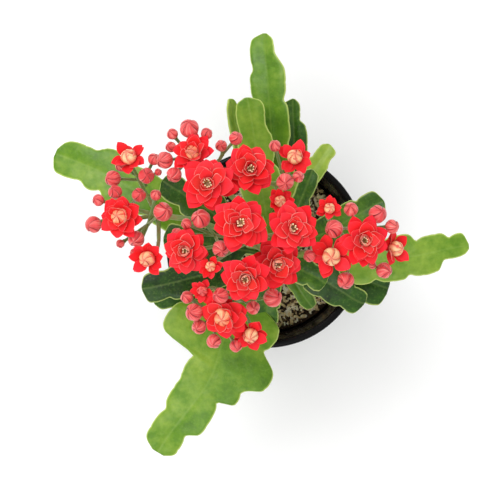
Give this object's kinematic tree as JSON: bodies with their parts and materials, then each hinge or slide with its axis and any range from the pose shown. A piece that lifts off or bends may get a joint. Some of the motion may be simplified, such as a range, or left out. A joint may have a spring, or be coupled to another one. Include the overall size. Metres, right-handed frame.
{
  "type": "potted kalanchoe",
  "caption": "Kalanchoe in a round tapered nursery pot: fleshy lobed leaves on a short stem, and branched flower stems with double flowers and round buds.",
  "frame": {"origin": "centre of the pot's round foot, on the surface that it stands on", "axes": "+Z up along the pot's axis; +X to the right and +Y up as the plant is seen from above, with the longest leaf towards -X -Y"},
  "size_m": [0.186, 0.1888, 0.1917],
  "materials": {
    "pot": "thin black polypropylene, satin with a soft shine on the rim",
    "soil": "dark crumbly peat compost with pale bark and perlite chips",
    "main_stem": "green fleshy stem, browner towards the soil",
    "flower_stem": "smooth olive green stalks with a brown flush",
    "leaf": "smooth waxy green with a paler rim and a soft shine",
    "petal": "thin satin petals, bright red with pale cream inner sides",
    "bud": "satin rose-red buds with paler seams"
  },
  "bodies": {
    "root": {"buds_back": "bud", "buds_back_left": "bud", "buds_back_right": "bud", "buds_far_left": "bud", "buds_far_left_back": "bud", "buds_front": "bud", "buds_front_far_right": "bud", "buds_front_left": "bud", "buds_left_centre": "bud", "buds_left_inner": "bud", "buds_right": "bud", "flower_back": "petal", "flower_back_left": "petal", "flower_back_left_folded": "petal", "flower_centre": "petal", "flower_centre_right": "petal", "flower_front": "petal", "flower_front_low": "petal", "flower_front_right": "petal", "flower_left": "petal", "flower_left_inner": "petal", "flower_right": "petal", "half_open_back": "petal", "half_open_centre": "petal", "half_open_far_left": "petal", "half_open_far_right": "petal", "half_open_front": "petal", "half_open_front_left": "petal", "half_open_left": "petal", "half_open_left_inner": "petal", "half_open_right": "petal", "half_open_right_back": "petal", "leaf_back_edge_on": "leaf", "leaf_back_front": "leaf", "leaf_back_long": "leaf", "leaf_back_pale": "leaf", "leaf_back_right": "leaf", "leaf_far_left": "leaf", "leaf_front_left": "leaf", "leaf_front_narrow": "leaf", "leaf_front_right": "leaf", "leaf_front_right_round": "leaf", "leaf_front_small": "leaf", "leaf_left_crenate": "leaf", "leaf_left_dish": "leaf", "leaf_left_serrated": "leaf", "leaf_left_under": "leaf", "leaf_right_back": "leaf", "leaf_right_long": "leaf", "leaf_upper_oval": "leaf", "leaf_upper_small": "leaf", "main_stem": "main_stem", "pot": "pot", "soil": "soil", "stem_back": "flower_stem", "stem_back_left": "flower_stem", "stem_centre": "flower_stem", "stem_front": "flower_stem", "stem_left": "flower_stem", "stem_right": "flower_stem"}
  },
  "joints": []
}
